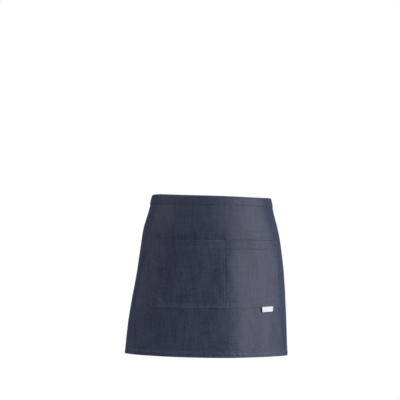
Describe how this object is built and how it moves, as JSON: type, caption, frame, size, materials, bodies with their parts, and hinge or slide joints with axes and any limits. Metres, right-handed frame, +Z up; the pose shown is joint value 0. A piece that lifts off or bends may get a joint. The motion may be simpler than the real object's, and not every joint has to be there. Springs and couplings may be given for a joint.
{
  "type": "waist apron",
  "caption": "Short denim waist apron in its worn form: a panel wrapped round the hips, a folded waistband tied at the back, and a wide divided patch pocket.",
  "frame": {"origin": "middle of the waist, level with the waistband's top edge", "axes": "+Z up, -Y the wearer's front, +X the wearer's left"},
  "size_m": [0.4211, 0.2794, 0.4093],
  "materials": {
    "denim": "dark indigo twill, dull",
    "label": "white woven ribbon"
  },
  "bodies": {
    "root": {"apron_panel": "denim", "waistband": "denim", "pocket": "denim", "label": "label", "tie_left": "denim", "tie_right": "denim", "tie_knot": "denim", "tie_tail_left": "denim", "tie_tail_right": "denim"}
  },
  "joints": []
}
